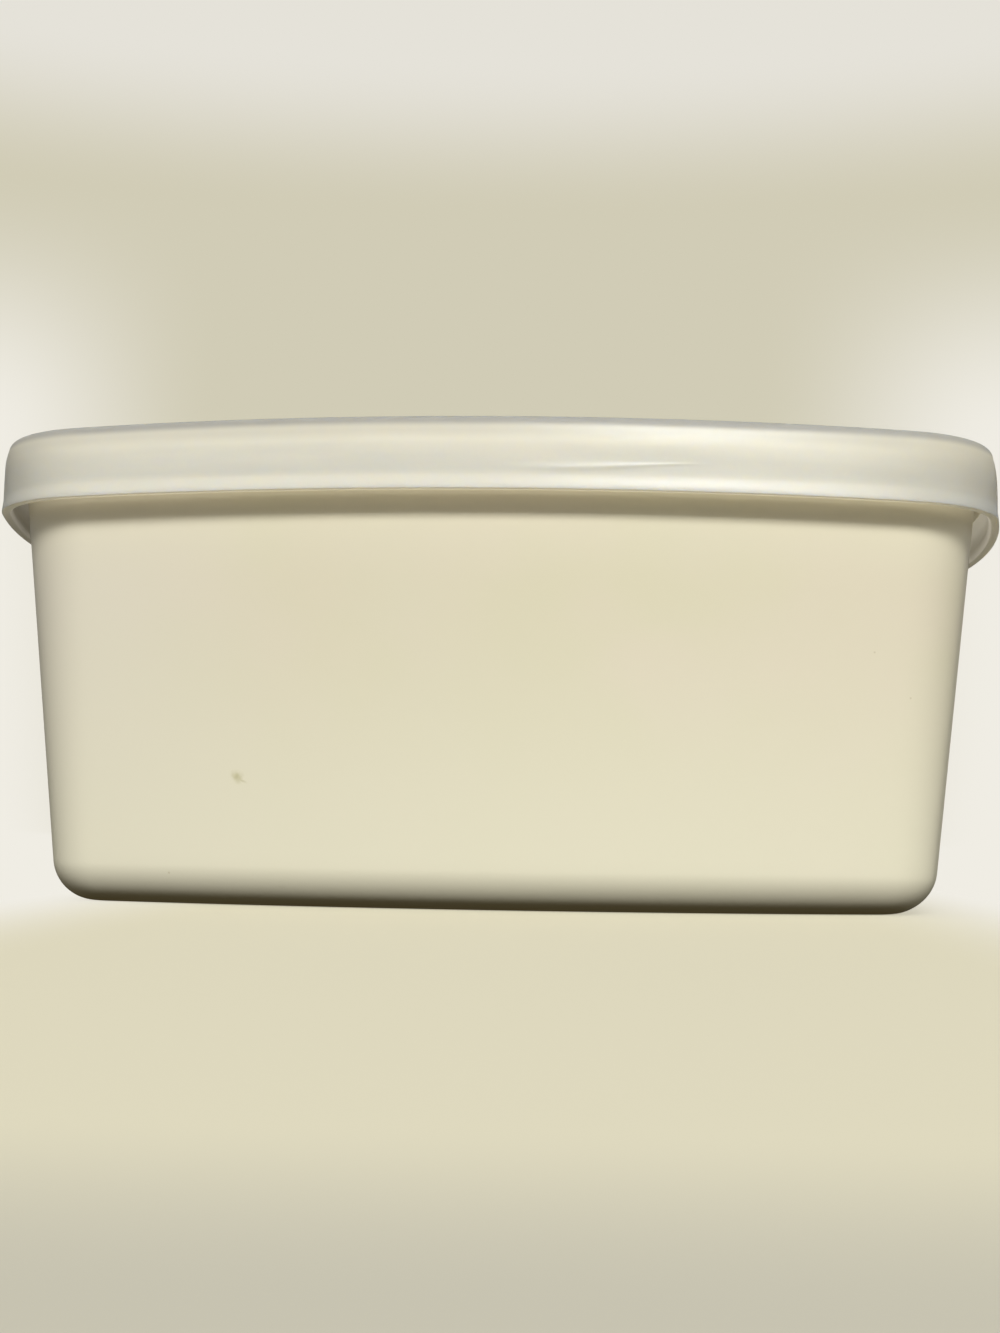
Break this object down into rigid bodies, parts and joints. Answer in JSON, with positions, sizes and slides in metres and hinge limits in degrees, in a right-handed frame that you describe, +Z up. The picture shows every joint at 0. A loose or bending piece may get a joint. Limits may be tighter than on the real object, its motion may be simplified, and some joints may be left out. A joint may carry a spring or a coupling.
{
  "type": "food storage container",
  "caption": "Shut plastic food tub with bowed tapered walls, rounded corners and base edge, and an overhanging push-on lid with a skirt, a beaded lip and a sunken top panel.",
  "frame": {"origin": "middle of the base, on the surface that the tub stands on", "axes": "+X along the long side, +Z up, -Y towards the long wall that the picture shows"},
  "size_m": [0.172, 0.148, 0.0732],
  "materials": {
    "cream_plastic": "opaque cream polypropylene, satin, with a faint stain and specks on the front wall",
    "frosted_plastic": "frosted translucent natural polypropylene, satin, with moulding streaks along the skirt"
  },
  "bodies": {
    "root": {"tub": "cream_plastic", "lid": "frosted_plastic"}
  },
  "joints": []
}
